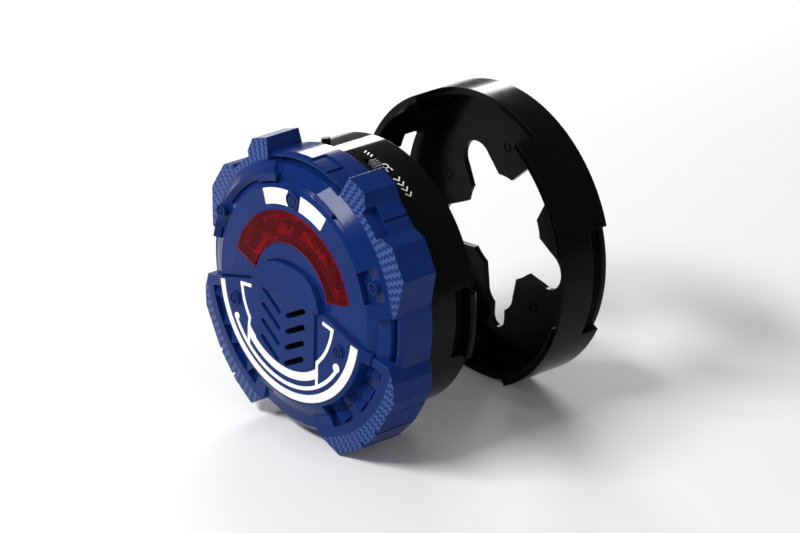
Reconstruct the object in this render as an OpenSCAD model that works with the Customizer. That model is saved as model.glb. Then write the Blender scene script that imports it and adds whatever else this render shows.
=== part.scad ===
// Light-up spinning top: a lugged face unit with lights and sound, and a petalled base ring that
// slips over its rear housing. The ring is shown drawn off along the spin axis.
// The spin axis is Y. The face looks towards -Y and the ring stands at +Y. The origin is on the
// spin axis, at the middle of the tip's round nose. Every part is drawn with z as the distance
// forward of the housing's rear face, and turned and moved into place at the end.

/* [Body] */
// Outer radius of the rear housing
body_r = 47; // [46.8:0.1:47.1]
// Length of the rear housing, from its rear face to the back of the bezel
body_len = 19.7; // [19.6:0.1:20.2]
// Wall thickness of the rear housing
body_wall = 3; // [2.8:0.1:3.1]

/* [Face] */
// Outer radius of the plain part of the bezel
bezel_r = 48.5; // [48.2:0.1:49]
// Outer radius of the tips of the upper lugs
lug_tip_r = 54.4; // [53.8:0.1:55]
// Outer radius of the bottom corners of the lower lugs
corner_r = 55.4; // [55:0.1:56]
// Height of the upper face plate's rim above the rear face
upper_z = 37.3; // [37.2:0.1:37.5]
// Rise of the domed upper face plate from its rim to its middle
dome_rise = 2.7; // [2.5:0.1:2.9]
// Height of the lower face plate above the rear face
lower_z = 41.3; // [41.2:0.1:41.5]
// Height of the grille plateau above the rear face
grille_z = 42.6; // [42.4:0.1:42.8]

/* [Lens] */
// Outer radius of the arc lens
lens_ro = 30; // [29.7:0.1:30.2]
// Inner radius of the arc lens
lens_ri = 19.4; // [19.2:0.1:19.6]
// Half of the angle that the arc lens spans
lens_half = 75; // [73:1:76]
// Height of the lens face above the rear face, at its inner edge
lens_z = 40.1; // [40:0.1:40.3]

/* [Grille] */
// Number of sound slots on each side
slot_rows = 4; // [3:1:4]
// Spacing between sound slots
slot_pitch = 5.9; // [5.6:0.1:6]
// Width of a sound slot
slot_w = 1.9; // [1.6:0.1:2]

/* [Base ring] */
// Outer radius of the base ring
ring_r = 52; // [51.9:0.1:52.3]
// Inner radius of the base ring's wall
ring_in = 49.6; // [49.5:0.1:49.7]
// Radius at the tips of the petals
petal_tip_r = 18.9; // [18:0.1:20]
// Distance that the ring is drawn off from its docked place
ring_travel = 54.6; // [40:0.1:60]
// Radius of the hole in each petal
petal_hole_r = 1.5; // [1.2:0.1:1.8]

/* [Tip] */
// Radius of the spinning tip's shaft
tip_shaft_r = 2.5; // [2.3:0.1:2.6]
// Radius of the spinning tip's nose
tip_nose_r = 3.5; // [3:0.1:4]
// Distance of the middle of the nose behind the housing
nose_mid = 7.5; // [7.3:0.1:8]

/* [Hidden] */
$fn = 96;

blue = [0.05, 0.12, 0.45];
black = [0.03, 0.03, 0.035];
white = [0.95, 0.95, 0.95];
red = [0.6, 0.02, 0.04, 0.6];
grey = [0.35, 0.35, 0.37];
steel = [0.75, 0.75, 0.77];
board_green = [0.05, 0.3, 0.12];

eps = 0.1;
fit_gap = 0.1;
far = 70;
inner_r = body_r - body_wall;

// bezel
bore_r = inner_r + 1.3;
seam_r = 40.6;
ledge_z = 34.6;
lug_face_z = 33;
lug_root_r = 46.4;
lug_root_z = 35.2;
ridge_r = 42.6;
ridge_z = 39;
rim_z = 32;
shelf_r = 48.5;
shelf_z = 37;
face_turn = 2.2;
grille_turn = 1.8;
notch_at = [120, 131, 141];
fin_at = [111, 124.5, 133.5, 148];
start_at = 13.5;
start_end = 28;
side_bolt_at = 66;
side_bolt_r = 42.9;

// screws and bosses
boss_at = [0, 120, 240];
boss_pcr = 42.2;
boss_r = 2.8;
screw_r = 1.2;

// battery bays
bay_at = [60, 180, 300];
cell_r = 5.25;
cell_len = 44.5;
cell_d = 27.5;
cell_z = 8.7;
door_r = 39.4;
door_t = 2;
floor_z = 14.2;
floor_t = 2;
hub_r = 12;

// boards
board_z = 17.9;
board_t = 1.6;
led_z = 27.6;
led_at = [-56, -28, 0, 28, 56];
led_ring_r = 24;

// speaker
spk_y = -11;
spk_r = 14.5;

// controls
button_at = -11;
button_z = 16.3;
button_r = 1.5;
knob_at = 18;
knob_z = 15.3;
knob_swing = 4.5;

// tip
nose_len = 4;
nose_end = -nose_mid - nose_len / 2;

// latches
latch_at = [95, 275];
latch_half = 11.9;
pivot_r = 42.6;
pivot_z = 9.2;
pin_r = 0.8;
ridge_out = 50.9;

// ring, in its docked place
ring_back = -2.3;
flange_t = 2;
ring_front = body_len - 0.4;
cut_z = 10.4;
petals = 5;
petal_turn = 3.6;
hole_pcr = 30;

// A point at a clock angle from the top and a distance from the axis
function pt(a, r) = [r * sin(a), r * cos(a)];

// Flat wedge between two clock angles
module wedge(a1, a2, r = far) {
    steps = ceil((a2 - a1) / 30);
    polygon(concat([[0, 0]], [for (i = [0 : steps]) pt(a1 + (a2 - a1) * i / steps, r)]));
}

module washer(ro, ri) {
    difference() {
        circle(ro);
        circle(ri);
    }
}

// Flat arc between two radii and two clock angles
module arc2d(ro, ri, a1, a2) {
    intersection() {
        washer(ro, ri);
        wedge(a1, a2);
    }
}

module arc3d(ro, ri, a1, a2, z1, z2) {
    translate([0, 0, z1]) linear_extrude(z2 - z1) arc2d(ro, ri, a1, a2);
}

module tube(ro, ri, z1, z2) {
    translate([0, 0, z1]) linear_extrude(z2 - z1) washer(ro, ri);
}

// Turns a child drawn outward along x to a clock angle
module at_angle(a) {
    rotate([0, 0, 90 - a]) children();
}

// Puts a child on the face at a clock angle and distance
module on_face(a, r, z) {
    translate([r * sin(a), r * cos(a), z]) children();
}

// Region of the face that belongs to the lower plate, with its brow
module lower_zone() {
    polygon([[-60, -12.5], [-17.5, 1], [-15.6, 5.4], [-12.5, 9], [-8, 11.3], [-3, 12.1],
             [3, 12.1], [8, 11.3], [12.5, 9], [15.6, 5.4], [17.5, 1], [60, -12.5],
             [60, -60], [-60, -60]]);
}

// ---------- bezel ----------

module upper_lug(side) {
    scale([side, 1]) polygon([[0, 0], pt(23.3, lug_tip_r - 0.9), pt(31.7, lug_tip_r), pt(35.6, 51.6),
        pt(48.6, 50.8), pt(53.6, lug_tip_r - 0.6), pt(66.3, lug_tip_r - 0.4), pt(80, 48)]);
}

// Square start of a ridge, before its lug
module ridge_start(side) {
    scale([side, 1]) polygon([pt(start_at, 36), pt(start_at, 40.8), pt(17.5, 46.1), pt(26, 46.1),
        pt(start_end, 36)]);
}

module lower_lug(side) {
    corner_at = side > 0 ? 157 : 153.8;
    step_at = side > 0 ? 165.5 : 159.8;
    scale([side, 1]) polygon([[0, 0], pt(100.5, 47.6), pt(106.5, 51), pt(113.5, 53.5), pt(131, 54.2),
        pt(143, corner_r - 0.3), pt(corner_at, corner_r), pt(step_at, 47.4)]);
}

module base_profile() {
    polygon([[bore_r, body_len + fit_gap], [bezel_r, body_len + fit_gap], [bezel_r, rim_z - 0.4],
        [47.6, rim_z + 1.3], [46.7, rim_z + 1.3], [46.5, rim_z - 0.1], [45.3, rim_z - 0.1],
        [45, ledge_z + 0.2], [42, upper_z - 1.1],
        [seam_r, upper_z - 0.5], [seam_r, ledge_z], [38.2, ledge_z], [38.2, ledge_z - 2],
        [43.4, ledge_z - 2], [bore_r, rim_z - 2]]);
}

module lug_profile() {
    polygon([[bore_r + 1, body_len + fit_gap], [60, body_len + fit_gap], [60, lug_face_z - 0.6],
        [lug_root_r, lug_root_z], [ridge_r, ridge_z], [seam_r, upper_z + 0.3], [seam_r, ledge_z - 1],
        [bore_r + 1, rim_z]]);
}

module shelf_profile() {
    polygon([[bore_r + 1, body_len + fit_gap], [60, body_len + fit_gap], [60, shelf_z - 2],
        [shelf_r, shelf_z], [seam_r, upper_z + 0.6], [seam_r, ledge_z - 1], [bore_r + 1, rim_z]]);
}

module chin_profile() {
    polygon([[seam_r, ledge_z - 1], [seam_r, upper_z + 0.6], [41.6, upper_z + 0.1], [46.6, 36],
        [bezel_r - 0.6, 34.6], [bezel_r - 0.2, rim_z - 0.5], [bezel_r - 0.2, rim_z - 4],
        [bore_r + 1, rim_z - 4]]);
}

module cut_by(z1, z2) {
    translate([0, 0, z1]) linear_extrude(z2 - z1) children();
}

module side_pocket(side) {
    a1 = side > 0 ? side_bolt_at - 8.3 : -side_bolt_at - 8;
    arc3d(lug_root_r - 0.3, 37.4, a1, a1 + 16.3, 36.2, 50);
}

// Recess with the louvres, beside each lower lug
module louvre_pocket(side, ro, ri) {
    arc3d(ro, ri, side > 0 ? 105 : -153, side > 0 ? 153 : -105, 35.4, 50);
}

// Ramped louvres, each rising to a crest
module louvres() {
    for (side = [-1, 1], a = fin_at) scale([side, 1, 1]) at_angle(a) translate([41.2, 0, 35.3])
        rotate([0, 0, 22]) translate([-4, 0, 0]) rotate([90, 0, 90]) linear_extrude(8)
            polygon([[0, 0], [0, 2.1], [4.2, 0.4], [4.2, 0]]);
}

module face_bezel() {
    color(blue) difference() {
        union() {
            rotate_extrude() base_profile();
            rotate(-face_turn) {
                intersection() {
                    rotate_extrude() lug_profile();
                    cut_by(0, 60) for (side = [-1, 1]) {
                        upper_lug(side);
                        ridge_start(side);
                    }
                }
                intersection() {
                    rotate_extrude() shelf_profile();
                    cut_by(0, 60) for (side = [-1, 1]) lower_lug(side);
                }
                intersection() {
                    rotate_extrude() chin_profile();
                    cut_by(0, 60) wedge(158, 202);
                }
                // square starts of the upper ridges
                for (side = [-1, 1]) {
                    a1 = side > 0 ? start_at : -start_end;
                    a2 = side > 0 ? start_end : -start_at;
                    arc3d(ridge_r, seam_r, a1, a2, ledge_z, ridge_z);
                    arc3d(ridge_r - 0.6, 39.9, a1 + 0.4, a2 - 0.4, ridge_z - 0.7, ridge_z - 0.1);
                }
            }
            // screw bosses
            for (a = boss_at) on_face(a, boss_pcr, body_len + fit_gap)
                cylinder(r = boss_r, h = ledge_z - body_len - 1.5);
        }
        rotate(-face_turn) for (side = [-1, 1]) {
            // set-back cushion blocks in the dips of the upper lugs
            intersection() {
                tube(far, 49.2, 29.6, 50);
                cut_by(0, 60) scale([side, 1]) wedge(36.1, 48.2);
            }
            at_angle(side * 43) translate([50, -0.4, body_len]) cube([3, 0.8, 20]);
            side_pocket(side);
            louvre_pocket(side, 45.4, seam_r - 0.1);
            // notches in the outside of the lower lugs
            for (a = notch_at) at_angle(side * a) translate([53, -0.5, body_len]) cube([5, 1, 20]);
        }
        // set-back steps of the rim at the top, on the right
        rotate(-face_turn) {
            arc3d(far, 47.9, 0.5, 12, 26, 34);
            arc3d(far, 47.3, 11, 22.5, 26, 34);
        }
        for (a = boss_at) on_face(a, boss_pcr, body_len) cylinder(r = screw_r + 0.05, h = 9);
    }
    color(blue) rotate(-face_turn) {
        for (side = [-1, 1]) on_face(side * side_bolt_at, side_bolt_r, 36) bolt_head(2.2, 2.3);
        intersection() {
            louvres();
            tube(45.6, seam_r + 0.1, 30, 40);
        }
    }
}

// ---------- face plates ----------

module bolt_head(r, height = 1.5) {
    difference() {
        cylinder(r = r, h = height);
        translate([0, 0, height - 0.6]) difference() {
            cylinder(r = r - 0.55, h = 1);
            cylinder(r = r - 1.25, h = 1);
        }
        translate([-0.3, -r / 2.4, height - 0.7]) cube([0.6, r / 1.2, 1]);
    }
}

// Top line of the domed upper plate, from its rim to its middle, raised by a given amount
function dome_line(up) = [[seam_r - 0.2, upper_z - 0.5 + up], [39.2, upper_z + 0.6 + up],
    [37.9, upper_z + 1.5 + up], [30.5, upper_z + dome_rise - 0.7 + up], [0, upper_z + dome_rise + up]];

module dome_shell() {
    polygon(concat([[0, upper_z + 0.6], [30.5, upper_z - 0.2], [37, upper_z - 0.8], [37, ledge_z + fit_gap],
        [seam_r - 0.2, ledge_z + fit_gap]], dome_line(0)));
}

module dome_skin(thick) {
    polygon([[37.9, upper_z + 1.5], [30.5, upper_z + dome_rise - 0.7], [30.5, upper_z + dome_rise - 0.7 + thick],
        [37.9, upper_z + 1.5 + thick]]);
}

module upper_face_panel() {
    lip = 1;
    color(blue) rotate(-face_turn) difference() {
        union() {
            difference() {
                rotate_extrude() dome_shell();
                cut_by(0, 60) translate([0, 0.2]) lower_zone();
            }
            // wall round the lens opening
            arc3d(lens_ro + 0.2 + lip, lens_ri - 0.2 - lip, -lens_half - 2.4, lens_half + 2.4,
                ledge_z + fit_gap, upper_z + 0.6);
            on_face(0, 35.4, upper_z + 0.9) bolt_head(2.9, 2);
        }
        arc3d(lens_ro + 0.2, lens_ri - 0.2, -lens_half - 0.5, lens_half + 0.5, 30, 45);
        for (side = [-1, 1]) side_pocket(side);
    }
}

module lower_shell_profile() {
    polygon([[0, lower_z - 2.4], [0, lower_z], [32.2, lower_z], [36.9, lower_z - 0.9], [seam_r - 0.2, lower_z - 2.9],
        [seam_r - 0.2, ledge_z + fit_gap], [36.2, ledge_z + fit_gap], [36.2, lower_z - 2.9],
        [32.2, lower_z - 2.4]]);
}

module lower_full_profile() {
    polygon([[0, ledge_z + fit_gap], [0, lower_z], [32.2, lower_z], [36.9, lower_z - 0.9],
        [seam_r - 0.2, lower_z - 2.9], [seam_r - 0.2, ledge_z + fit_gap]]);
}

module plateau2d() {
    intersection() {
        circle(24.5);
        lower_zone();
        union() {
            translate([-15, -30]) square([30, 31.5]);
            translate([-18, 0.9]) square([36, 14]);
        }
    }
}

module slot_cut(side, row) {
    slot_len = 11.4;
    translate([side * 6.2 - 0.7, -2.9 - row * slot_pitch, lower_z - 4]) rotate([0, 0, side * 32]) {
        translate([-(slot_len - slot_w) / 2, -slot_w / 2, 0]) cube([slot_len - slot_w, slot_w, 8]);
        for (end = [-1, 1]) translate([end * (slot_len - slot_w) / 2, 0, 0]) cylinder(d = slot_w, h = 8);
    }
}

module lower_face_panel() {
    skirt = 2;
    brow_fall = 6.5;
    grille_step = 0.5;
    color(blue) rotate(-face_turn) difference() {
        union() {
            intersection() {
                rotate_extrude() lower_shell_profile();
                cut_by(0, 60) lower_zone();
            }
            intersection() {
                rotate_extrude() lower_full_profile();
                cut_by(0, 60) difference() {
                    lower_zone();
                    translate([0, -skirt]) lower_zone();
                }
            }
            difference() {
                cut_by(lower_z - 2.4, grille_z) plateau2d();
                // the brow falls away above the grille
                translate([-30, 1, grille_z]) rotate([-brow_fall, 0, 0]) cube([60, 20, 4]);
                // the grille lies a step lower than the brow
                translate([-30, -40, grille_z - grille_step]) cube([60, 40.4, 4]);
            }
            for (a = [-109, 109]) on_face(a, 28.2, lower_z - 0.3) bolt_head(2.4, 1.2);
        }
        rotate(-grille_turn) for (side = [-1, 1], row = [0 : slot_rows - 1]) slot_cut(side, row);
        for (side = [-1, 1]) louvre_pocket(side, seam_r, 37.5);
    }
    color(blue) rotate(-face_turn) intersection() {
        louvres();
        tube(seam_r - 0.2, 37.2, 30, 40);
        cut_by(0, 60) lower_zone();
    }
}

module lower_print(side) {
    line = 1.2;
    link = side > 0 ? 15.4 : 18.8;
    link_top = side > 0 ? -17.3 : -16.2;
    link_end = side > 0 ? -26.6 : -24.2;
    arc_end = side > 0 ? 134 : 127;
    scale([side, 1]) {
        arc2d(24.1, 24.1 - line, 95.5, arc_end);
        polygon([pt(arc_end - 1.5, 24.1), [link + line, link_top - 0.4], [link + line, link_end],
            [link, link_end], [link, link_top + 0.4], pt(arc_end - 0.5, 22.95)]);
        polygon([[18.5, -1.2], [24.1, -2.1], [24.1, -3.3], [18.5, -2.4]]);
        on_face(121, 30.1, 0) circle(side > 0 ? 1.6 : 1.2);
    }
}

module white_trim() {
    trim_t = 0.25;
    color(white) rotate(-face_turn) {
        intersection() {
            rotate_extrude() dome_skin(trim_t);
            cut_by(0, 60) for (side = [-1, 1]) scale([side, 1]) arc2d(37.7, 32.3, 4.9, 25.4);
        }
        cut_by(lower_z, lower_z + trim_t) {
            for (side = [-1, 1]) lower_print(side);
            intersection() {
                arc2d(28, 25, 136, 234);
                translate([-19.4, -40]) square([35.6, 60]);
            }
            arc2d(31.3, 30, 122, 238);
        }
        intersection() {
            rotate_extrude() polygon([[32.2, lower_z], [36.9, lower_z - 0.9], [36.9, lower_z - 0.9 + trim_t],
                [32.2, lower_z + trim_t]]);
            cut_by(0, 60) intersection() {
                washer(35.9, 33);
                translate([0, -0.7]) lower_zone();
            }
        }
    }
}

// ---------- lens and lights ----------

module lens_block(grow, z1, z2, turn = 0) {
    arc3d(lens_ro + grow, lens_ri - grow, -lens_half - turn, lens_half + turn, z1, z2);
}

module red_lens() {
    fall = 0.7;
    color(red) rotate(-face_turn) difference() {
        union() {
            intersection() {
                rotate_extrude() polygon([[lens_ri, 33], [lens_ri, lens_z], [lens_ro, lens_z - fall], [lens_ro, 33]]);
                lens_block(0, 30, 45);
            }
            lens_block(1.2, 33, ledge_z, 2.4);
        }
        lens_block(-1.5, 32, lens_z - fall - 1.6, -3);
    }
}

module lens_reflector() {
    color(white) rotate(-face_turn) difference() {
        lens_block(-1.8, led_z + board_t, 36.6, -4);
        lens_block(-2.6, led_z + board_t + 0.8, 40, -5.4);
        for (a = led_at) on_face(a, led_ring_r, led_z) cylinder(r = 2.6, h = 5);
    }
}

module led_board() {
    color(board_green) rotate(-face_turn) arc3d(30.6, 17.6, -lens_half - 1, lens_half + 1, led_z, led_z + board_t);
}

module leds() {
    color(red) rotate(-face_turn) for (a = led_at) on_face(a, led_ring_r, led_z + board_t) {
        cylinder(r = 2.4, h = 0.9);
        cylinder(r = 2, h = 2.4);
        translate([0, 0, 2.4]) sphere(r = 2);
    }
}

// ---------- speaker ----------

module speaker_frame() {
    rim_top = lower_z - 2.5;
    color(grey) translate([0, spk_y, 0]) {
        tube(spk_r, 12.6, rim_top - 1.2, rim_top);
        tube(spk_r - 0.6, 12.6, rim_top - 8, rim_top - 1.2);
        tube(spk_r - 0.6, 8.2, rim_top - 8.8, rim_top - 8);
    }
}

module speaker_cone() {
    rim_top = lower_z - 2.5;
    color(black) translate([0, spk_y, 0]) rotate_extrude()
        polygon([[0, rim_top - 5.6], [6, rim_top - 6], [12.4, rim_top - 1.6], [12.4, rim_top - 1.1],
            [6, rim_top - 5.3], [4.6, rim_top - 4.2], [2.6, rim_top - 3.5], [0, rim_top - 3.3]]);
}

module speaker_magnet() {
    rim_top = lower_z - 2.5;
    color(steel) translate([0, spk_y, 0]) {
        translate([0, 0, rim_top - 13.4]) cylinder(r = 9.6, h = 4.5);
        translate([0, 0, rim_top - 8.9]) cylinder(r = 7.9, h = 1.8);
    }
}

// ---------- boards ----------

module main_board() {
    color(board_green) difference() {
        cut_by(board_z, board_z + board_t) {
            circle(36.5);
            arc2d(41.6, 30, -20, 33);
        }
        for (a = boss_at) on_face(a, boss_pcr, 0) cylinder(r = boss_r + 0.5, h = 30);
        for (a = [0, 120, 240]) on_face(a, 30, 0) cylinder(r = 1, h = 30);
    }
}

module board_chips() {
    top = board_z + board_t;
    color(black) {
        translate([-5, 6, top]) cube([10, 10, 1.6]);
        translate([-24, -8, top]) cube([7, 5, 1.4]);
        translate([18, -20, top]) cube([8, 6, 1.4]);
        translate([14, 10, top]) cube([5, 3.5, 1.2]);
        translate([-22, 14, top]) cylinder(r = 2.6, h = 5.5);
        translate([24, 2, top]) cylinder(r = 2.1, h = 5);
        translate([-14, -26, top]) cylinder(r = 2.1, h = 5);
        translate([-10, 24, top]) cube([6, 2.2, 2.8]);
    }
}

module mode_switch_body() {
    color(steel) at_angle(knob_at) difference() {
        translate([36.2, -6, floor_z + 0.1]) cube([6, 12, 3.5]);
        translate([39.4, -4.5, knob_z - 1]) cube([3, 9, 2]);
    }
}

module button_switch() {
    color(black) at_angle(button_at) translate([34.6, -3, floor_z + 0.1]) cube([4.4, 6, 3.6]);
}

// ---------- rear housing ----------

module bay_blocks() {
    wall = 1.4;
    for (a = bay_at, end = [-1, 1]) at_angle(a)
        translate([cell_d - cell_r - 0.3, end > 0 ? cell_len / 2 + 1 : -cell_len / 2 - 1 - wall, 3])
            cube([2 * cell_r + 0.6, wall, floor_z - 2.9]);
}

module latch_cut() {
    slot_half = latch_half + 0.5;
    translate([39.6, -slot_half, -1]) cube([20, 2 * slot_half, 4.6]);
    translate([41, -slot_half, -1]) cube([20, 2 * slot_half, 9]);
    translate([41, -slot_half, 7.9]) cube([3, 2 * slot_half, 2.9]);
    translate([pivot_r, 0, pivot_z]) rotate([90, 0, 0]) cylinder(r = pin_r + 0.07, h = 28.8, center = true);
}

module rear_housing() {
    color(black) difference() {
        union() {
            tube(body_r, inner_r, 0, body_len);
            difference() {
                tube(inner_r + 1.2, inner_r, body_len - eps, body_len + 2.2);
                for (a = boss_at) on_face(a, boss_pcr, body_len) cylinder(r = boss_r + 0.4, h = 4);
            }
            tube(inner_r + eps, door_r + 0.3, 0, 2.4);
            cut_by(floor_z, floor_z + floor_t) circle(inner_r + eps);
            translate([0, 0, 0.2]) cylinder(r = hub_r, h = floor_z);
            for (a = boss_at) {
                on_face(a, boss_pcr, 0.01) cylinder(r = boss_r, h = body_len - 0.01);
                at_angle(a) translate([hub_r - 1, -1.2, door_t + 0.3]) cube([29, 2.4, floor_z - 2]);
            }
            on_face(0, 22, door_t + 0.3) cylinder(r = 2.8, h = floor_z - 2);
            for (a = [0, 120, 240]) on_face(a, 30, floor_z + 1) cylinder(r = 2.4, h = board_z - floor_z - 1);
            bay_blocks();
            for (a = latch_at, side = [-1, 1]) at_angle(a)
                translate([40.9, side > 0 ? latch_half + 0.5 : -latch_half - 2.9, 7.6]) cube([2.6, 2.4, 3.4]);
        }
        // seat of the bearing bush, and the room for the clip behind it
        translate([0, 0, -1]) cylinder(r = 4.5, h = 12);
        translate([0, 0, 10.3]) cylinder(r = 5.4, h = 10);
        // screw holes
        for (a = boss_at) on_face(a, boss_pcr, -1) {
            cylinder(r = screw_r + 0.2, h = 30);
            cylinder(r = 2.45, h = 3.3);
        }
        on_face(0, 22, 0) cylinder(r = 0.95, h = 12);
        // room for the two switches
        arc3d(inner_r, 34.2, -19, -3.9, floor_z - eps, 30);
        arc3d(inner_r, 34.2, 4.8, 33, floor_z - eps, 30);
        // button bore and knob slot
        at_angle(button_at) translate([40, 0, button_z]) rotate([0, 90, 0]) cylinder(r = button_r + 0.08, h = 10);
        intersection() {
            arc3d(body_r + 1, inner_r - 1, knob_at - knob_swing - 1.8, knob_at + knob_swing + 1.8, 0, 40);
            tube(body_r + 2, inner_r - 2, knob_z - 1.2, knob_z + 1.2);
        }
        for (a = latch_at) at_angle(a) latch_cut();
    }
}

module battery_door() {
    color(black) difference() {
        tube(door_r, hub_r + 0.4, 0.2, 0.2 + door_t);
        on_face(0, 22, -1) {
            cylinder(r = 1.2, h = 5);
            cylinder(r = 2.1, h = 2.1);
        }
        // grip grooves
        for (i = [-2 : 2]) translate([-7, -30 + 2.2 * i, -0.3]) cube([14, 0.9, 1]);
    }
}

module screw(head_r, head_h, shank_r, length) {
    difference() {
        cylinder(r = head_r, h = head_h);
        translate([-head_r * 0.6, -0.25, -eps]) cube([head_r * 1.2, 0.5, 0.7]);
        translate([-0.25, -head_r * 0.6, -eps]) cube([0.5, head_r * 1.2, 0.7]);
    }
    translate([0, 0, head_h - 0.01]) cylinder(r = shank_r, h = length);
}

module door_screw() {
    color(steel) on_face(0, 22, 0.25) screw(1.9, 0.8, 0.9, 8);
}

module housing_screws() {
    color(steel) for (a = boss_at) on_face(a, boss_pcr, 0.5) screw(2.2, 1.7, screw_r, 25);
}

// ---------- batteries ----------

module battery_cells() {
    color(grey) for (a = bay_at) at_angle(a)
        translate([cell_d, -cell_len / 2, cell_z]) rotate([-90, 0, 0]) {
            cylinder(r = cell_r, h = cell_len - 1);
            cylinder(r = 1.9, h = cell_len);
        }
}

module battery_springs() {
    wire = 0.3;
    color(steel) for (a = bay_at) at_angle(a)
        for (i = [0 : 1]) translate([cell_d, -cell_len / 2 - 0.35 - 0.62 * i * 0.5, cell_z])
            rotate([90, 0, 0]) rotate_extrude() translate([2.2 + 0.9 * i, 0]) circle(r = wire);
}

module battery_plates() {
    color(steel) for (a = bay_at) at_angle(a)
        translate([cell_d - 3.5, cell_len / 2 + 0.4, cell_z - 3.5]) cube([7, 0.5, 7]);
}

// ---------- moving controls ----------

module mode_knob() {
    color(grey) at_angle(knob_at) {
        difference() {
            translate([body_r + 0.35, -1.9, knob_z - 1.5]) cube([1.5, 3.8, 3]);
            for (i = [-1 : 1]) translate([body_r + 1.45, i * 1.1 - 0.25, knob_z - 2]) cube([1, 0.5, 4]);
        }
        translate([40.2, -0.9, knob_z - 0.65]) cube([7.5, 1.8, 1.3]);
    }
}

module push_button() {
    color(black) at_angle(button_at) translate([0, 0, button_z]) rotate([0, 90, 0]) {
        translate([0, 0, 40.6]) cylinder(r = 1, h = 3);
        translate([0, 0, 43]) cylinder(r = 2.3, h = 0.6);
        translate([0, 0, 43.1]) cylinder(r = button_r, h = 6.1);
    }
}

module latch_body() {
    color(black) {
        intersection() {
            rotate_extrude() polygon([[43.2, 1.6], [49.7, 1.6], [ridge_out, 2.7], [ridge_out, 4],
                [50.4, 4.6], [45.2, 4.6], [45.2, 7.6], [43.2, 7.6]]);
            translate([30, -latch_half, 0]) cube([30, 2 * latch_half, 10]);
        }
        translate([41.5, -latch_half, 6.2]) cube([2.1, 2 * latch_half, 3]);
        translate([pivot_r, 0, pivot_z]) rotate([90, 0, 0]) {
            cylinder(r = 1.1, h = 2 * latch_half, center = true);
            cylinder(r = pin_r, h = 28, center = true);
        }
    }
}

module right_latch() {
    at_angle(latch_at[0]) latch_body();
}

module left_latch() {
    at_angle(latch_at[1]) latch_body();
}

// ---------- tip ----------

module tip_bearing() {
    color(steel) {
        tube(4.45, tip_shaft_r + 0.05, 0.2, 10.3);
        tube(6.5, tip_shaft_r + 0.05, -0.6, 0.2);
    }
}

module spin_tip() {
    color(steel) difference() {
        union() {
            rotate_extrude() polygon([[0, nose_end], [tip_nose_r, nose_end],
                [tip_nose_r, nose_end + nose_len], [4.6, -4.4], [8, -2.6], [8, -0.95],
                [tip_shaft_r, -0.95], [tip_shaft_r, 12], [0, 12]]);
            intersection() {
                translate([0, 0, nose_end]) sphere(r = tip_nose_r);
                translate([0, 0, nose_end - 4.5]) cylinder(r = tip_nose_r, h = 4.6);
            }
        }
        tube(5, 2, 10.7, 11.3);
    }
}

module tip_clip() {
    color(steel) difference() {
        tube(4.2, 2.05, 10.75, 11.25);
        translate([-1.2, 0, 10]) cube([2.4, 6, 2]);
    }
}

// ---------- base ring ----------

module star_opening() {
    circle(petal_tip_r);
    for (i = [0 : petals - 1]) rotate(-(petal_turn + 36 + 72 * i)) {
        polygon([[0, 0], [-8.3, 17.1], [-7, 24.5], [7, 24.5], [8.3, 17.1]]);
        translate([0, 24.5]) circle(7);
    }
    rotate(-(petal_turn + 180)) {
        translate([-3.4, 26]) square([6.8, 9]);
        translate([0, 35]) circle(3.4);
    }
}

module base_ring() {
    flange_z = ring_back + flange_t;
    channel_r = ridge_out + 0.3;
    color(black) translate([0, 0, -ring_travel]) difference() {
        union() {
            tube(ring_r, ring_in, ring_back, ring_front);
            cut_by(ring_back, flange_z) difference() {
                circle(ring_in + eps);
                star_opening();
            }
            tube(ring_in + eps, 48.4, flange_z - eps, flange_z + 1.2);
            for (a = [45, 135, 225, 315]) at_angle(a)
                translate([body_r + 0.4, -1.2, flange_z - eps]) cube([2.6, 2.4, 9]);
        }
        arc3d(far, 40, -27, 32, cut_z, 30);
        arc3d(far, 40, 154, 206, cut_z, 30);
        for (a = latch_at) {
            arc3d(channel_r, 47.5, a - 15.5, a + 15.5, flange_z, 30);
            arc3d(far, 47.5, a - 22, a + 22, flange_z, 5.6);
            arc3d(far, 49.8, a - 22, a + 22, ring_back - 1, 5);
        }
        for (i = [0 : petals - 1]) on_face(petal_turn + 72 * i, hole_pcr, ring_back - 1)
            cylinder(r = petal_hole_r, h = 2.2);
    }
}

rotate([90, 0, 0]) translate([0, 0, nose_mid]) {
    face_bezel();
    upper_face_panel();
    lower_face_panel();
    white_trim();
    red_lens();
    lens_reflector();
    led_board();
    leds();
    speaker_frame();
    speaker_cone();
    speaker_magnet();
    main_board();
    board_chips();
    rear_housing();
    battery_cells();
    battery_springs();
    battery_plates();
    battery_door();
    door_screw();
    housing_screws();
    mode_switch_body();
    button_switch();
    tip_bearing();
    mode_knob();
    push_button();
    right_latch();
    left_latch();
    spin_tip();
    tip_clip();
    base_ring();
}
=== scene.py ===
import math
import random

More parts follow.
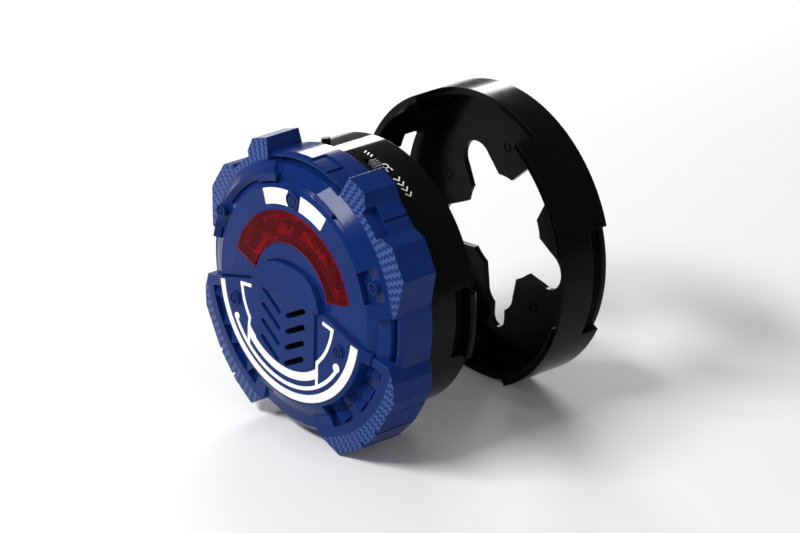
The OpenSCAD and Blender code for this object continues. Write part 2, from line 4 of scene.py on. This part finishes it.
import bmesh
import bpy
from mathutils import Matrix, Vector


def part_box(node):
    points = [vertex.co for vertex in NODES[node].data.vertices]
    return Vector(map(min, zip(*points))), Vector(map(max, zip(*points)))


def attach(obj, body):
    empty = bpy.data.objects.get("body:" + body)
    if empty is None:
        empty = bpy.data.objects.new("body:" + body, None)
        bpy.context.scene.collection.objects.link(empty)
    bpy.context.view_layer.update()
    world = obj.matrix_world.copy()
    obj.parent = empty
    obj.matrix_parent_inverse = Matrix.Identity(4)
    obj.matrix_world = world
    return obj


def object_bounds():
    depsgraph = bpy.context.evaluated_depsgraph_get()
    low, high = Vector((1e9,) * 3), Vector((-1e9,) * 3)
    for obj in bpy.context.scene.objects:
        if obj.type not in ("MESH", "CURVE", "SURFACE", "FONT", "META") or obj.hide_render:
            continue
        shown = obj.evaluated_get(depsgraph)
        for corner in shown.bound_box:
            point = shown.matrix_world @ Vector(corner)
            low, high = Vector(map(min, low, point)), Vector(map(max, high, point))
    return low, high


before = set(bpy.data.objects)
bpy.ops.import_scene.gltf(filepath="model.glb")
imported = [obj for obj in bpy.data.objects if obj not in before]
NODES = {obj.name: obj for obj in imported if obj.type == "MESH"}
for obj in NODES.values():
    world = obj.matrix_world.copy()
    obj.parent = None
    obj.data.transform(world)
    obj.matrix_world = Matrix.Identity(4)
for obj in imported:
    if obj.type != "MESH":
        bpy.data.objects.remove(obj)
CAD_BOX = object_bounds()
MM = 0.001
NOSE_MID = 7.5      # the housing's rear face stands this far in front of the origin

# ------------------------------------------------------------------ camera

AZIMUTH = math.radians(49.04)
ELEVATION = math.radians(23.0)
FOCAL_PX = 4500.0
FRAME_W = 800.0
SENSOR = 36.0
CAMERA_RIGHT, CAMERA_UP, CAMERA_BACK = 0.0374, 0.01086, 1.491   # metres from the face's centre
PLATEAU_ABOVE_PLATE = 1.3   # the lower face plate's plateau stands this far out of it, in mm
back = Vector((math.sin(AZIMUTH) * math.cos(ELEVATION), -math.cos(AZIMUTH) * math.cos(ELEVATION),
               math.sin(ELEVATION)))
right = Vector((math.cos(AZIMUTH), math.sin(AZIMUTH), 0))
up = back.cross(right)
face_centre = Vector((0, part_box("lower_face_panel")[0].y + PLATEAU_ABOVE_PLATE * MM, 0))
camera = bpy.data.objects.new("camera", bpy.data.cameras.new("camera"))
bpy.context.scene.collection.objects.link(camera)
camera.location = face_centre + right * CAMERA_RIGHT + up * CAMERA_UP + back * CAMERA_BACK
camera.rotation_mode = "QUATERNION"
camera.rotation_quaternion = back.to_track_quat("Z", "Y")
camera.data.sensor_width = SENSOR
camera.data.lens = FOCAL_PX / FRAME_W * SENSOR
camera.data.clip_start = 0.05
camera.data.clip_end = 50
bpy.context.scene.camera = camera
bpy.context.scene.view_settings.view_transform = "Standard"
bpy.context.scene.view_settings.look = "None"


# ------------------------------------------------------------------ shader helpers

EDGE_FROM, EDGE_FULL = 0.995, 0.8   # rounded normal . true normal, where the edge mask starts and is full: edge wear, painted edge highlight, painted rim glow


class Shader:
    """A material being built, with short calls for its nodes."""

    def __init__(self, name):
        self.material = bpy.data.materials.new(name)
        self.material.use_nodes = True
        self.tree = self.material.node_tree
        self.bsdf = next(n for n in self.tree.nodes if n.type == "BSDF_PRINCIPLED")
        self.out = next(n for n in self.tree.nodes if n.type == "OUTPUT_MATERIAL")
        self.object = self.node("ShaderNodeTexCoord").outputs["Object"]

    def node(self, kind, **settings):
        made = self.tree.nodes.new(kind)
        for key, value in settings.items():
            setattr(made, key, value)
        return made

    def put(self, socket, value):
        if isinstance(value, bpy.types.NodeSocket):
            self.tree.links.new(value, socket)
        else:
            socket.default_value = value

    def math(self, operation, a, b=0.0, c=0.0):
        made = self.node("ShaderNodeMath", operation=operation)
        for socket, value in zip(made.inputs, (a, b, c)):
            self.put(socket, value)
        return made.outputs[0]

    def noise(self, scale, detail=3.0, rough=0.5, distortion=0.0):
        made = self.node("ShaderNodeTexNoise")
        self.put(made.inputs["Vector"], self.object)
        made.inputs["Scale"].default_value = scale
        made.inputs["Detail"].default_value = detail
        made.inputs["Roughness"].default_value = rough
        made.inputs["Distortion"].default_value = distortion
        return made.outputs[0]

    def ramp(self, value, low, high, to_low=0.0, to_high=1.0):
        made = self.node("ShaderNodeMapRange", interpolation_type="SMOOTHSTEP")
        for socket, v in zip(made.inputs, (value, low, high, to_low, to_high)):
            self.put(socket, v)
        return made.outputs[0]

    def mix(self, factor, a, b):
        made = self.node("ShaderNodeMix", data_type="RGBA")
        colours = [s for s in made.inputs if s.type == "RGBA"]
        self.put(made.inputs[0], factor)
        self.put(colours[0], (*a, 1) if isinstance(a, tuple) and len(a) == 3 else a)
        self.put(colours[1], (*b, 1) if isinstance(b, tuple) and len(b) == 3 else b)
        return next(s for s in made.outputs if s.type == "RGBA")

    def xyz(self, vector=None):
        made = self.node("ShaderNodeSeparateXYZ")
        self.put(made.inputs[0], self.object if vector is None else vector)
        return made.outputs[0], made.outputs[1], made.outputs[2]

    def axis_distance(self):
        x, _, z = self.xyz()
        return self.math("SQRT", self.math("ADD", self.math("MULTIPLY", x, x), self.math("MULTIPLY", z, z)))

    def bump(self, height, distance, strength=1.0, below=None):
        made = self.node("ShaderNodeBump")
        made.inputs["Strength"].default_value = strength
        made.inputs["Distance"].default_value = distance
        self.put(made.inputs["Height"], height)
        if below is not None:
            self.put(made.inputs["Normal"], below)
        return made.outputs[0]

    def edge(self, radius, samples=4):
        """(rounded normal, how near an outside or inside edge is, 0 to 1)"""
        bevel = self.node("ShaderNodeBevel", samples=samples)
        bevel.inputs["Radius"].default_value = radius
        geometry = self.node("ShaderNodeNewGeometry")
        dot = self.node("ShaderNodeVectorMath", operation="DOT_PRODUCT")
        self.put(dot.inputs[0], bevel.outputs[0])
        self.put(dot.inputs[1], geometry.outputs["Normal"])
        return bevel.outputs[0], self.ramp(dot.outputs["Value"], EDGE_FROM, EDGE_FULL, 0.0, 1.0)

    def set(self, **values):
        for name, value in values.items():
            self.put(self.bsdf.inputs[name.replace("_", " ")], value)


def moulded(name, colour, worn_and_highlight, rough, bevel=0.35 * MM, grain=0.012 * MM, scuff=0.08, shine=0.5):
    """Moulded plastic: cloudy colour, satin grain, fine scuffs, and smoother edges paled partly by wear and
    partly by a painted highlight.
    """
    s = Shader(name)
    rounded, edge = s.edge(bevel)
    cloud = s.noise(55, 4, 0.6)
    fine = s.noise(1900, 2, 0.5)
    scratch = s.noise(420, 6, 0.72, 1.4)
    base = s.mix(s.ramp(cloud, 0.3, 0.75), colour, tuple(c * 1.22 + 0.0008 for c in colour))
    # Edges pale towards the worn colour: partly edge wear, partly a painted highlight along the edges.
    base = s.mix(s.math("MULTIPLY", edge, s.ramp(s.noise(700, 4), 0.35, 0.75, 0.12, 0.55)), base, worn_and_highlight)
    base = s.mix(s.ramp(scratch, 0.66, 0.8, 0.0, 0.25), base, worn_and_highlight)
    s.put(s.bsdf.inputs["Base Color"], base)
    wear = s.math("ADD", s.ramp(cloud, 0.25, 0.8, -0.03, 0.05), s.ramp(scratch, 0.55, 0.8, 0.0, scuff))
    s.put(s.bsdf.inputs["Roughness"], s.math("ADD", wear, rough))
    s.put(s.bsdf.inputs["Normal"], s.bump(fine, grain, 0.6, rounded))
    s.bsdf.inputs["IOR"].default_value = 1.5
    s.bsdf.inputs["Specular IOR Level"].default_value = shine
    return s


TURNING_SCALE = 5200.0      # turning marks: one every 1.2 mm along the radius and the length


def metal(name, colour, rough, lathe=False, bevel=0.15 * MM):
    """Metal with turning or brushing marks and a tarnished bloom."""
    s = Shader(name)
    rounded, _ = s.edge(bevel)
    if lathe:
        _, y, _ = s.xyz()
        line = s.math("ADD", s.math("MULTIPLY", s.axis_distance(), TURNING_SCALE),
                      s.math("MULTIPLY", y, TURNING_SCALE))
        marks = s.math("MULTIPLY_ADD", s.math("SINE", line), 0.25, s.noise(900, 3))
    else:
        marks = s.noise(1600, 5, 0.6)
    tarnish = s.ramp(s.noise(160, 5, 0.65), 0.45, 0.8)
    s.put(s.bsdf.inputs["Base Color"], s.mix(s.math("MULTIPLY", tarnish, 0.5), colour,
                                             tuple(c * 0.55 for c in colour)))
    s.put(s.bsdf.inputs["Roughness"], s.math("ADD", s.math("MULTIPLY", tarnish, 0.14), rough))
    s.bsdf.inputs["Metallic"].default_value = 1.0
    s.put(s.bsdf.inputs["Normal"], s.bump(marks, 0.006 * MM, 0.6, rounded))
    return s


# ------------------------------------------------------------------ materials

BLUE = (0.0032, 0.0185, 0.112)
# Pale blue for worn edges and scuffs, raised so that it also paints a highlight along the edges.
BLUE_WORN_AND_HIGHLIGHT = (0.03, 0.068, 0.27)
# The woven pattern covers the front of the lugs, outside these radii and forward of this height, in mm.
TWILL_R_UPPER, TWILL_R_LOWER, TWILL_MARGIN = 46.4, 48.5, 0.25
TWILL_FROM = 32.45
TWILL_FACING = (-0.99, -0.96)   # and only where the normal's Y is between these: the lugs' sloping fronts
TWILL_PITCH, ZIG_WIDTH, THREAD_PITCH, MEAN_LUG_R = 2.6, 0.85, 0.3, 50.0     # mm
ZIG_LEAN = 1.1                  # how far a zig-zag leans sideways for each mm outwards
TWILL_DARK, TWILL_LIGHT = (0.0045, 0.018, 0.1), (0.05, 0.1, 0.29)


def blue_shell(name, twill):
    s = moulded(name, BLUE, BLUE_WORN_AND_HIGHLIGHT, 0.15, shine=0.1)
    if not twill:
        return s.material
    # woven pattern on the front faces of the lugs
    x, y, z = s.xyz()
    radius = s.math("MULTIPLY", s.axis_distance(), 1 / MM)
    around = s.math("MULTIPLY", s.math("ARCTAN2", x, z), MEAN_LUG_R)
    geometry = s.node("ShaderNodeNewGeometry")
    _, ny, _ = s.xyz(geometry.outputs["True Normal"])
    front = s.math("MULTIPLY", s.math("LESS_THAN", ny, TWILL_FACING[1]),
                   s.math("GREATER_THAN", ny, TWILL_FACING[0]))
    high = s.math("LESS_THAN", y, -(TWILL_FROM + NOSE_MID) * MM)
    below = s.math("MULTIPLY", s.math("LESS_THAN", z, 0.0), TWILL_R_LOWER - TWILL_R_UPPER)
    outside = s.math("GREATER_THAN", radius, s.math("ADD", below, TWILL_R_UPPER + TWILL_MARGIN))
    mask = s.math("MULTIPLY", s.math("MULTIPLY", front, high), outside)
    zig = s.math("MULTIPLY", s.math("PINGPONG", radius, ZIG_WIDTH), ZIG_LEAN)
    phase = s.math("FRACT", s.math("DIVIDE", s.math("ADD", around, zig), TWILL_PITCH))
    tow = s.ramp(s.math("ABSOLUTE", s.math("SUBTRACT", phase, 0.5)), 0.14, 0.32)
    thread = s.math("SINE", s.math("MULTIPLY", radius, 2 * math.pi / THREAD_PITCH))
    shade = s.math("MULTIPLY_ADD", thread, 0.06, s.math("MULTIPLY_ADD", tow, 0.75, 0.06))
    plain = s.bsdf.inputs["Base Color"].links[0].from_socket
    woven = s.mix(shade, TWILL_DARK, TWILL_LIGHT)
    s.put(s.bsdf.inputs["Base Color"], s.mix(s.math("MULTIPLY", mask, 0.9), plain, woven))
    under = s.bsdf.inputs["Normal"].links[0].from_socket
    s.put(s.bsdf.inputs["Normal"], s.bump(s.math("MULTIPLY", tow, mask), 0.05 * MM, 0.7, under))
    return s.material


def red_clear():
    """Clear red plastic, brighter along its rims, where a painted glow and a painted brighter red stand in
    for light gathering there.
    """
    s = Shader("lens_red_clear")
    rounded, edge = s.edge(0.45 * MM)
    haze = s.noise(260, 4, 0.6)
    body = s.mix(s.ramp(haze, 0.3, 0.8), (0.38, 0.002, 0.013), (0.55, 0.005, 0.026))
    # Along the rims: a brighter red and a red emission, a painted highlight and a painted glow that is not a
    # lamp.
    s.put(s.bsdf.inputs["Base Color"], s.mix(edge, body, (0.9, 0.012, 0.05)))
    s.put(s.bsdf.inputs["Emission Color"], s.mix(edge, (0.0, 0.0, 0.0), (0.45, 0.004, 0.03)))
    s.bsdf.inputs["Emission Strength"].default_value = 0.8
    s.put(s.bsdf.inputs["Roughness"], s.math("ADD", s.ramp(haze, 0.4, 0.8, 0.0, 0.04), 0.03))
    s.bsdf.inputs["Transmission Weight"].default_value = 0.9
    s.bsdf.inputs["IOR"].default_value = 1.12
    s.bsdf.inputs["Specular IOR Level"].default_value = 0.3
    s.put(s.bsdf.inputs["Normal"], s.bump(s.noise(300, 2), 0.006 * MM, 0.5, rounded))
    return s.material


def red_facets():
    """Moulded prisms under the lens, coloured with painted dark shade between them and painted bright red
    glints.
    """
    s = Shader("lens_prism_red")
    inner = s.ramp(s.axis_distance(), 20.5 * MM, 25.5 * MM, 0.14, -0.03)
    cells = s.node("ShaderNodeTexVoronoi")
    s.put(cells.inputs["Vector"], s.object)
    cells.inputs["Scale"].default_value = 200
    # Noise paints bright red glints over a painted dark shade, with more glints towards the inner radius.
    # The bumps and roughness add real reflections on top.
    painted_glint = s.ramp(s.math("ADD", s.noise(150, 3, 0.6), inner), 0.5, 0.62)
    base = s.mix(painted_glint, (0.012, 0.0005, 0.002), (1.0, 0.03, 0.1))
    s.put(s.bsdf.inputs["Base Color"], base)
    s.put(s.bsdf.inputs["Roughness"], s.ramp(painted_glint, 0.0, 1.0, 0.4, 0.18))
    s.bsdf.inputs["Metallic"].default_value = 0.3
    s.put(s.bsdf.inputs["Normal"], s.bump(cells.outputs["Distance"], 0.5 * MM, 0.7))
    return s.material


def circuit():
    s = Shader("solder_mask")
    x, _, z = s.xyz()
    grid = s.node("ShaderNodeTexBrick")
    swap = s.node("ShaderNodeCombineXYZ")
    s.put(swap.inputs[0], x)
    s.put(swap.inputs[1], z)
    s.put(grid.inputs["Vector"], swap.outputs[0])
    grid.inputs["Scale"].default_value = 260
    grid.inputs["Mortar Size"].default_value = 0.07
    track = grid.outputs["Fac"]
    cloud = s.noise(80, 3)
    s.put(s.bsdf.inputs["Base Color"], s.mix(s.math("MULTIPLY", track, 0.6),
          s.mix(cloud, (0.006, 0.06, 0.02), (0.012, 0.1, 0.035)), (0.03, 0.17, 0.06)))
    s.put(s.bsdf.inputs["Roughness"], s.ramp(cloud, 0.3, 0.8, 0.25, 0.4))
    s.put(s.bsdf.inputs["Normal"], s.bump(track, 0.04 * MM, 0.6))
    return s.material


def printed_white():
    s = Shader("printed_white")
    rounded, _ = s.edge(0.06 * MM)
    ink = s.noise(900, 4, 0.6)
    s.put(s.bsdf.inputs["Base Color"], s.mix(s.ramp(ink, 0.5, 0.85), (0.9, 0.9, 0.92), (0.78, 0.79, 0.84)))
    s.put(s.bsdf.inputs["Roughness"], s.ramp(ink, 0.3, 0.8, 0.38, 0.5))
    s.put(s.bsdf.inputs["Normal"], s.bump(s.noise(2600, 2), 0.006 * MM, 0.5, rounded))
    return s.material


def jacket():
    s = Shader("cell_jacket")
    wrap = s.noise(300, 3)
    s.put(s.bsdf.inputs["Base Color"], s.mix(s.ramp(wrap, 0.3, 0.7), (0.02, 0.05, 0.06), (0.03, 0.07, 0.08)))
    s.put(s.bsdf.inputs["Roughness"], s.ramp(wrap, 0.2, 0.8, 0.22, 0.4))
    s.bsdf.inputs["Metallic"].default_value = 0.4
    s.put(s.bsdf.inputs["Normal"], s.bump(wrap, 0.01 * MM, 0.4))
    return s.material


def paper():
    s = Shader("pressed_paper")
    fibre = s.noise(1400, 6, 0.7)
    s.put(s.bsdf.inputs["Base Color"], s.mix(fibre, (0.01, 0.01, 0.011), (0.03, 0.03, 0.032)))
    s.put(s.bsdf.inputs["Roughness"], s.ramp(fibre, 0.2, 0.8, 0.75, 0.95))
    s.put(s.bsdf.inputs["Normal"], s.bump(fibre, 0.03 * MM, 0.8))
    return s.material


BLACK = (0.0018, 0.0018, 0.0021)
# Grey for worn edges and scuffs on the black parts, which also paints a highlight along their edges.
GREY_WORN_AND_HIGHLIGHT = (0.03, 0.03, 0.033)
MATERIALS = {
    "blue_plain": blue_shell("blue_plain", False),
    "blue_twill": blue_shell("blue_twill", True),
    "white": printed_white(),
    "red": red_clear(),
    "reflector": moulded("reflector_white", (0.7, 0.68, 0.68), (0.8, 0.8, 0.8), 0.25).material,
    "circuit": circuit(),
    "led": red_clear(),
    "steel": metal("plated_steel", (0.62, 0.62, 0.64), 0.28).material,
    "paper": paper(),
    "magnet": metal("sintered_magnet", (0.08, 0.08, 0.085), 0.5).material,
    "chip": moulded("chip_epoxy", (0.008, 0.008, 0.009), (0.05, 0.05, 0.05), 0.45).material,
    "facets": red_facets(),
    "black_gloss": moulded("black_gloss", BLACK, GREY_WORN_AND_HIGHLIGHT, 0.07, grain=0.003 * MM, scuff=0.04,
                           shine=0.07).material,
    "black_satin": moulded("black_satin", BLACK, GREY_WORN_AND_HIGHLIGHT, 0.36, shine=0.12).material,
    "jacket": jacket(),
    "nickel": metal("nickel_contact", (0.72, 0.68, 0.6), 0.25).material,
    "zinc": metal("zinc_screw", (0.5, 0.5, 0.52), 0.32, True).material,
    "brass": metal("bush_brass", (0.6, 0.42, 0.17), 0.3, True).material,
    "grey": moulded("grey_knob", (0.045, 0.045, 0.05), (0.12, 0.12, 0.12), 0.4).material,
    "chrome": metal("tip_chrome", (0.75, 0.75, 0.77), 0.12, True).material,
    "ring": moulded("ring_black", BLACK, GREY_WORN_AND_HIGHLIGHT, 0.16, shine=0.055).material,
}
LOOK = {
    "face_bezel": "blue_twill", "upper_face_panel": "blue_plain", "lower_face_panel": "blue_plain",
    "white_trim": "white", "red_lens": "red", "lens_reflector": "reflector", "led_board": "circuit",
    "leds": "led", "speaker_frame": "steel", "speaker_cone": "paper", "speaker_magnet": "magnet",
    "main_board": "circuit", "board_chips": "chip", "rear_housing": "black_gloss",
    "battery_cells": "jacket", "battery_springs": "nickel", "battery_plates": "nickel",
    "battery_door": "black_satin", "door_screw": "zinc", "housing_screws": "zinc",
    "mode_switch_body": "steel", "button_switch": "chip", "tip_bearing": "brass", "mode_knob": "grey",
    "push_button": "black_satin", "right_latch": "black_gloss", "left_latch": "black_gloss",
    "spin_tip": "chrome", "tip_clip": "steel", "base_ring": "ring",
}
for node, look in LOOK.items():
    o = NODES[node]
    o.data.materials.clear()
    o.data.materials.append(MATERIALS[look])


# ------------------------------------------------------------------ added pieces

def to_frame(x, y, forward):
    """A point of the face drawing, in mm, with forward counted from the housing's rear face."""
    return Vector((x * MM, -(forward + NOSE_MID) * MM, y * MM))


def clock(angle, radius, forward):
    a = math.radians(angle)
    return to_frame(radius * math.sin(a), radius * math.cos(a), forward)


def piece(name, verts, faces, look, body="unit", smooth=False):
    mesh = bpy.data.meshes.new(name)
    mesh.from_pydata(verts, [], faces)
    bm = bmesh.new()
    bm.from_mesh(mesh)
    bmesh.ops.recalc_face_normals(bm, faces=bm.faces)
    bm.to_mesh(mesh)
    bm.free()
    for polygon in mesh.polygons:
        polygon.use_smooth = smooth
    o = bpy.data.objects.new(name, mesh)
    bpy.context.scene.collection.objects.link(o)
    o.data.materials.append(MATERIALS[look])
    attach(o, body)
    return o


def skin_strip(verts, faces, path, width, radius, thick):
    """A printed line on the housing: path is (clock angle, forward) points; width in mm."""
    rows = []
    for i, (a, h) in enumerate(path):
        a0, h0 = path[max(i - 1, 0)]
        a1, h1 = path[min(i + 1, len(path) - 1)]
        along = Vector((math.radians(a1 - a0) * radius, h1 - h0)).normalized()
        side = Vector((-along.y, along.x)) * width / 2
        for sign in (-1, 1):
            angle = a + math.degrees(sign * side.x / radius)
            rows.append((angle, h + sign * side.y))
    start = len(verts)
    for r in (radius + thick, radius - thick):
        verts.extend(clock(angle, r, h) for angle, h in rows)
    n = len(rows)
    for i in range(0, n - 2, 2):
        a, b, c, d = (start + i + k for k in (0, 1, 3, 2))
        faces.append((a, b, c, d))
        faces.append(tuple(k + n for k in (d, c, b, a)))
        faces.append((a, d, d + n, a + n))
        faces.append((b, b + n, c + n, c))
    faces.append((start, start + n, start + n + 1, start + 1))
    last = start + n - 2
    faces.append((last, last + 1, last + 1 + n, last + n))


def switch_marks():
    """Generic position marks beside the mode knob: dots, a ring and a row of chevrons."""
    verts, faces = [], []
    radius, thick = 47.03, 0.035

    def line(path, width=0.42):
        skin_strip(verts, faces, path, width, radius, thick)

    def loop(a, h, r):
        steps = 20
        path = [(a + math.degrees(r * math.cos(2 * math.pi * k / steps) / radius),
                 h + r * math.sin(2 * math.pi * k / steps)) for k in range(steps + 1)]
        line(path, 0.38)

    loop(19.2, 11.6, 1.05)
    line([(20.9, 10.6), (22.6, 10.6)])
    line([(20.9, 12.6), (22.6, 12.6)])
    for a in (7.0, 8.9, 10.8):
        line([(a - 0.5, 11.2), (a + 0.5, 12.6)], 0.5)
    for a in (27.6, 30.4, 33.2, 36.0):
        line([(a - 0.9, 10.4), (a + 0.9, 11.7), (a - 0.9, 13.0)], 0.5)
    return piece("switch_marks", verts, faces, "white")


def lens_facets():
    """A bed of small irregular prisms that lies on the reflector, under the lens."""
    dice = random.Random(7)
    verts, faces = [], []
    half, turn = 70.0, 2.2                              # degrees either side, and the face's own turn
    r0, r1, base, peak = 21.1, 28.3, 36.75, 37.55
    cells_a, cells_r = 34, 4
    corner_stray, peak_stray = (0.8, 0.4), (0.9, 0.4)   # degrees, mm

    def at(i, j):
        a = turn - half + 2 * half * i / cells_a
        r = r0 + (r1 - r0) * j / cells_r
        if 0 < i < cells_a and 0 < j < cells_r:
            a += dice.uniform(-corner_stray[0], corner_stray[0])
            r += dice.uniform(-corner_stray[1], corner_stray[1])
        return a, r

    grid = [[at(i, j) for j in range(cells_r + 1)] for i in range(cells_a + 1)]
    index = {}
    for i in range(cells_a + 1):
        for j in range(cells_r + 1):
            index[i, j] = len(verts)
            verts.append(clock(*grid[i][j], base))
    for i in range(cells_a):
        for j in range(cells_r):
            corners = [(i, j), (i + 1, j), (i + 1, j + 1), (i, j + 1)]
            a = sum(grid[p][q][0] for p, q in corners) / 4 + dice.uniform(-peak_stray[0], peak_stray[0])
            r = sum(grid[p][q][1] for p, q in corners) / 4 + dice.uniform(-peak_stray[1], peak_stray[1])
            top = len(verts)
            verts.append(clock(a, r, dice.uniform(base + 0.2, peak)))
            ring = [index[c] for c in corners]
            for k in range(4):
                faces.append((ring[k], ring[(k + 1) % 4], top))
    return piece("lens_facets", verts, faces, "facets")


def petal_marks():
    """Low moulded rings on the inner side of the petals."""
    verts, faces = [], []
    travel, inner_face = 54.6, -0.3
    petals, first_at, pitch_r = 5, 3.6, 30
    steps = 24
    profile = [(2.0, 0.0), (1.85, 0.28), (1.35, 0.28), (1.2, 0.0)]
    for petal in range(petals):
        centre = clock(first_at + 360 / petals * petal, pitch_r, inner_face - travel)
        start = len(verts)
        for k in range(steps):
            t = 2 * math.pi * k / steps
            for r, lift in profile:
                verts.append(centre + Vector((r * math.cos(t), -lift, r * math.sin(t))) * MM)
        n = len(profile)
        for k in range(steps):
            for q in range(n):
                a = start + k * n + q
                b = start + k * n + (q + 1) % n
                c = start + ((k + 1) % steps) * n + (q + 1) % n
                d = start + ((k + 1) % steps) * n + q
                faces.append((a, b, c, d))
    return piece("petal_marks", verts, faces, "ring", "ring", True)


switch_marks()
lens_facets()
petal_marks()


# ------------------------------------------------------------------ floor and light

def plane(name, size, z):
    mesh = bpy.data.meshes.new(name)
    mesh.from_pydata([(-size, -size, z), (size, -size, z), (size, size, z), (-size, size, z)], [],
                     [(0, 1, 2, 3)])
    o = bpy.data.objects.new(name, mesh)
    bpy.context.scene.collection.objects.link(o)
    return o


floor = plane("floor", 12, CAD_BOX[0].z)
s = Shader("floor_pale")
s.put(s.bsdf.inputs["Base Color"], s.mix(s.noise(3, 2), (0.8, 0.8, 0.8), (0.83, 0.83, 0.83)))
s.bsdf.inputs["Roughness"].default_value = 0.9
floor.data.materials.append(s.material)

world = bpy.data.worlds.new("studio")
bpy.context.scene.world = world
world.use_nodes = True
world.node_tree.nodes["Background"].inputs[0].default_value = (1, 1, 1, 1)
world.node_tree.nodes["Background"].inputs[1].default_value = 0.3


def area_light(name, at, aim, size, power, size_y):
    data = bpy.data.lights.new(name, "AREA")
    data.shape = "RECTANGLE"
    data.size = size
    data.size_y = size_y
    data.energy = power
    o = bpy.data.objects.new(name, data)
    bpy.context.scene.collection.objects.link(o)
    o.location = at
    o.rotation_mode = "QUATERNION"
    o.rotation_quaternion = (Vector(at) - Vector(aim)).to_track_quat("Z", "Y")


FACE_AIM = (0, -0.045, 0)
area_light("front_top_box", (-0.16, -0.64, 0.68), FACE_AIM, 0.56, 8.8, 0.13)
area_light("rear_box", (-0.69, 0.55, 0.35), (0, -0.02, 0.05), 0.42, 5, 0.18)
area_light("side_box", (0.85, -0.1, 0.25), (0, 0, 0), 0.3, 1.1, 0.5)
